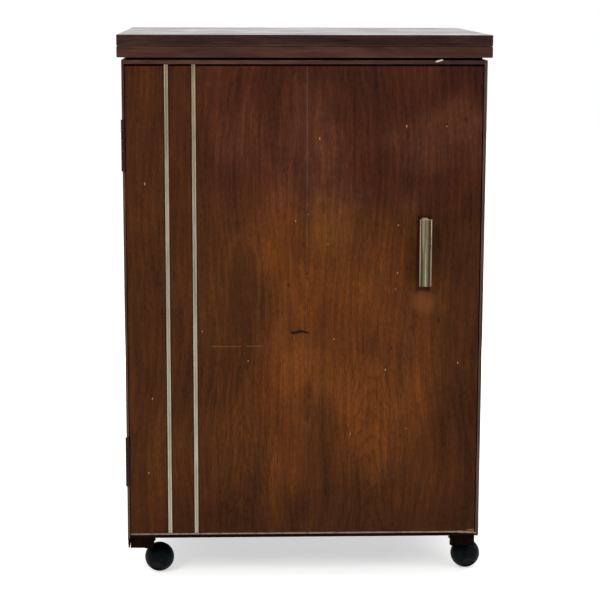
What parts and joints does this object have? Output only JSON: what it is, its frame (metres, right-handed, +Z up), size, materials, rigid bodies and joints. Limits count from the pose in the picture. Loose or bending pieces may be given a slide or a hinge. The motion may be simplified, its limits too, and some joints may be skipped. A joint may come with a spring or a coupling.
{
  "type": "sewing table",
  "caption": "Sewing cabinet on ball casters with a hinged door, a table top with a machine opening and a leaf that folds over to the left.",
  "frame": {"origin": "on the floor under the cabinet's centre line, half way between the pull's front and the table top's back edge", "axes": "+Z up, -Y towards the door, +X to the right seen from the front"},
  "size_m": [0.5466, 0.4366, 0.8146],
  "materials": {
    "door_veneer": "red-brown veneer, satin lacquer",
    "leaf_veneer": "dark red-brown veneer, gloss lacquer on the face",
    "carcass_veneer": "brown veneer, satin lacquer",
    "dark_stained_wood": "dark stained, matt",
    "raw_board": "unfinished board, matt",
    "pale_edging": "worn pale plastic edging",
    "strip_metal": "anodised, satin, tarnished",
    "handle_metal": "anodised champagne, tarnished",
    "brown_enamel": "brown enamel over steel",
    "steel": "zinc plated",
    "catch_plastic": "off-white plastic",
    "caster_hood_plastic": "black, scuffed",
    "caster_wheel_plastic": "dark blue-grey, scuffed"
  },
  "bodies": {
    "cabinet": {"back_panel": "raw_board", "block_screws": "steel", "bottom_board": "dark_stained_wood", "caster_block_front_left": "dark_stained_wood", "caster_block_front_right": "dark_stained_wood", "caster_block_rear_left": "dark_stained_wood", "caster_block_rear_right": "dark_stained_wood", "caster_socket_front_left": "steel", "caster_socket_front_right": "steel", "caster_socket_rear_left": "steel", "caster_socket_rear_right": "steel", "door_catch": "catch_plastic", "door_hinge_lower_fixed": "brown_enamel", "door_hinge_pins": "steel", "door_hinge_upper_fixed": "brown_enamel", "leaf_hinge_front_fixed": "steel", "leaf_hinge_pins": "steel", "leaf_hinge_rear_fixed": "steel", "machine_bracket_left": "steel", "machine_bracket_right": "steel", "machine_bracket_screws": "steel", "machine_hinge_pins": "steel", "shelf": "raw_board", "shelf_batten_left": "raw_board", "shelf_batten_right": "raw_board", "side_panel_left": "carcass_veneer", "side_panel_right": "carcass_veneer", "side_panel_screws": "steel", "spacer_front": "dark_stained_wood", "spacer_left": "dark_stained_wood", "spacer_rear": "dark_stained_wood", "spacer_right": "dark_stained_wood", "table_top": "carcass_veneer", "table_top_screws": "steel", "top_rail_front": "carcass_veneer", "top_rail_rear": "raw_board"},
    "door": {"door_bottom_edging": "pale_edging", "door_handle": "handle_metal", "door_hinge_lower_moving": "brown_enamel", "door_hinge_upper_moving": "brown_enamel", "door_panel": "door_veneer", "door_screws": "steel", "door_strike": "steel", "handle_screws": "steel", "trim_strip_left": "strip_metal", "trim_strip_right": "strip_metal"},
    "leaf": {"folding_leaf": "leaf_veneer", "folding_leaf_screws": "steel", "leaf_hinge_front_moving": "steel", "leaf_hinge_rear_moving": "steel"},
    "machine_finger_left": {"machine_finger_left": "steel"},
    "machine_finger_right": {"machine_finger_right": "steel"},
    "caster_swivel_front_left": {"caster_hood_front_left": "caster_hood_plastic"},
    "caster_roller_front_left": {"caster_wheel_front_left": "caster_wheel_plastic"},
    "caster_swivel_front_right": {"caster_hood_front_right": "caster_hood_plastic"},
    "caster_roller_front_right": {"caster_wheel_front_right": "caster_wheel_plastic"},
    "caster_swivel_rear_left": {"caster_hood_rear_left": "caster_hood_plastic"},
    "caster_roller_rear_left": {"caster_wheel_rear_left": "caster_wheel_plastic"},
    "caster_swivel_rear_right": {"caster_hood_rear_right": "caster_hood_plastic"},
    "caster_roller_rear_right": {"caster_wheel_rear_right": "caster_wheel_plastic"}
  },
  "joints": [
    {"name": "door_swing", "type": "hinge", "parent": "cabinet", "child": "door", "pos_m": [-0.2626, -0.19375, 0.42005], "axis": [0, 0, -1], "range_deg": [0, 170]},
    {"name": "leaf_fold", "type": "hinge", "parent": "cabinet", "child": "leaf", "pos_m": [-0.2702, 0.00825, 0.7984], "axis": [0, -1, 0], "range_deg": [0, 180]},
    {"name": "machine_finger_left_swing", "type": "hinge", "parent": "cabinet", "child": "machine_finger_left", "pos_m": [-0.1075, 0.1225, 0.7892], "axis": [-1, 0, 0], "range_deg": [0, 90]},
    {"name": "machine_finger_right_swing", "type": "hinge", "parent": "cabinet", "child": "machine_finger_right", "pos_m": [0.1075, 0.1225, 0.7892], "axis": [-1, 0, 0], "range_deg": [0, 90]},
    {"name": "caster_front_left_swivel", "type": "hinge", "parent": "cabinet", "child": "caster_swivel_front_left", "pos_m": [-0.235, -0.14325, 0.05], "axis": [0, 0, 1], "continuous": true},
    {"name": "caster_front_left_roll", "type": "hinge", "parent": "caster_swivel_front_left", "child": "caster_roller_front_left", "pos_m": [-0.21875, -0.14611, 0.0222], "axis": [-0.1422, -0.8067, -0.5736], "continuous": true},
    {"name": "caster_front_right_swivel", "type": "hinge", "parent": "cabinet", "child": "caster_swivel_front_right", "pos_m": [0.235, -0.14325, 0.05], "axis": [0, 0, 1], "continuous": true},
    {"name": "caster_front_right_roll", "type": "hinge", "parent": "caster_swivel_front_right", "child": "caster_roller_front_right", "pos_m": [0.25125, -0.14039, 0.0222], "axis": [0.1422, -0.8067, -0.5736], "continuous": true},
    {"name": "caster_rear_left_swivel", "type": "hinge", "parent": "cabinet", "child": "caster_swivel_rear_left", "pos_m": [-0.235, 0.15975, 0.05], "axis": [0, 0, 1], "continuous": true},
    {"name": "caster_rear_left_roll", "type": "hinge", "parent": "caster_swivel_rear_left", "child": "caster_roller_rear_left", "pos_m": [-0.21866, 0.16205, 0.0222], "axis": [0.114, -0.8112, -0.5736], "continuous": true},
    {"name": "caster_rear_right_swivel", "type": "hinge", "parent": "cabinet", "child": "caster_swivel_rear_right", "pos_m": [0.235, 0.15975, 0.05], "axis": [0, 0, 1], "continuous": true},
    {"name": "caster_rear_right_roll", "type": "hinge", "parent": "caster_swivel_rear_right", "child": "caster_roller_rear_right", "pos_m": [0.25094, 0.15548, 0.0222], "axis": [-0.212, -0.7912, -0.5736], "continuous": true}
  ]
}
